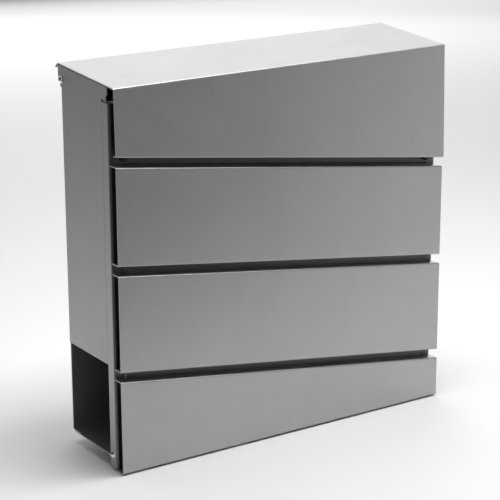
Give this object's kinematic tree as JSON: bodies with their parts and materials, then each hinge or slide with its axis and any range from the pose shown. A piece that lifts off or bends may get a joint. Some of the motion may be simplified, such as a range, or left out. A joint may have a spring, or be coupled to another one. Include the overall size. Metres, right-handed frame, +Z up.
{
  "type": "wall mailbox",
  "caption": "Flat steel wall mailbox with slanted groove front panels, a hinged rain lid, a tilting front door, a cam lock and an open-sided newspaper compartment.",
  "frame": {"origin": "middle of the four mounting holes, on the plane of the wall", "axes": "+X to the right seen from the front, +Y into the wall, +Z up; the front faces -Y"},
  "size_m": [0.3708, 0.1139, 0.3655],
  "materials": {
    "front_paint": "satin grey powder coat on the door panels",
    "body_paint": "satin grey powder coat on the shell, its two floors and the front frame",
    "lid_paint": "satin grey powder coat on the lid",
    "groove_paint": "dark grey powder coat on the door pan, which shows in the grooves",
    "bright_screw": "polished stainless steel",
    "zinc_steel": "bright zinc-plated steel",
    "black_rubber": "matt black rubber"
  },
  "bodies": {
    "body": {"rear_shell": "body_paint", "newspaper_floor": "body_paint", "compartment_divider": "body_paint", "front_frame": "body_paint", "divider_rivets": "zinc_steel", "rubber_buffers": "black_rubber", "wall_spacers": "black_rubber", "door_pivot_screws": "bright_screw", "door_pivot_bushes": "zinc_steel", "door_pivot_nuts": "zinc_steel", "lid_pivot_screws": "bright_screw", "lid_pivot_washers": "zinc_steel", "lid_pivot_nuts": "zinc_steel", "lock_barrel": "bright_screw", "lock_nut": "zinc_steel"},
    "door": {"door_plate": "groove_paint", "panel_upper": "front_paint", "panel_middle": "front_paint", "panel_lower": "front_paint", "latch_keeper": "zinc_steel", "keeper_rivets": "zinc_steel"},
    "lid": {"lid_cover": "lid_paint"},
    "lock": {"lock_plug": "bright_screw", "lock_cam": "zinc_steel", "cam_screw": "zinc_steel"}
  },
  "joints": [
    {"name": "door_tilt", "type": "hinge", "parent": "body", "child": "door", "pos_m": [0, -0.0924, -0.2172], "axis": [1, 0, 0], "range_deg": [0, 110]},
    {"name": "lid_lift", "type": "hinge", "parent": "body", "child": "lid", "pos_m": [0, -0.0162, 0.1213], "axis": [-1, 0, 0], "range_deg": [0, 75]},
    {"name": "lock_turn", "type": "hinge", "parent": "body", "child": "lock", "pos_m": [0, -0.1, 0.056], "axis": [0, 1, 0], "range_deg": [0, 90]}
  ]
}
